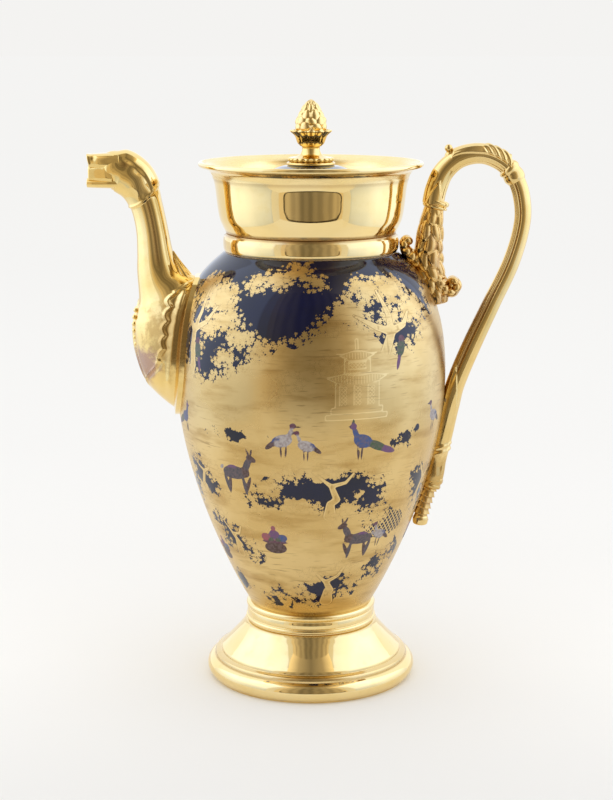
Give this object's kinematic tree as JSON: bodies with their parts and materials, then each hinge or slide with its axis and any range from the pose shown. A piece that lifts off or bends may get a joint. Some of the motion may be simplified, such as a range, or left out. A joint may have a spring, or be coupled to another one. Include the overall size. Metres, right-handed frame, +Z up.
{
  "type": "coffee pot",
  "caption": "Footed porcelain coffee pot: tapering oval body, flared neck, domed lift-off lid with bud finial, creature-headed spout and high looped handle.",
  "frame": {"origin": "centre of the foot's underside, on the surface that the pot stands on", "axes": "+Z up, -X towards the spout, +X towards the handle, +Y away from the viewer of the picture"},
  "size_m": [0.21, 0.1292, 0.28],
  "materials": {
    "gold": "burnished gilding over glaze",
    "blue_and_gold": "cobalt glaze with satin and burnished gilding",
    "blue": "gloss cobalt glaze"
  },
  "bodies": {
    "pot": {"foot": "gold", "body": "blue_and_gold", "neck_ring": "gold", "neck": "gold", "spout_root": "gold", "spout_flange": "gold", "spout_bracket": "gold", "spout_neck": "gold", "spout_head": "gold", "spout_scallops": "gold", "spout_beads": "gold", "handle_arm": "gold", "arch_band": "gold", "handle_leaf": "gold", "thumb_bead": "gold", "handle_collar": "gold", "handle_trunk": "gold", "handle_tail": "gold", "tail_leaf": "gold", "tail_ring": "gold", "husk_stem": "gold", "tail_knob": "gold"},
    "lid": {"lid_cover": "blue", "finial_base": "gold", "finial_cup": "gold", "finial_bud": "gold"}
  },
  "joints": [
    {"name": "lid_lift", "type": "slide", "parent": "pot", "child": "lid", "axis": [0, 0, 1], "range_m": [0, 0.06]}
  ]
}
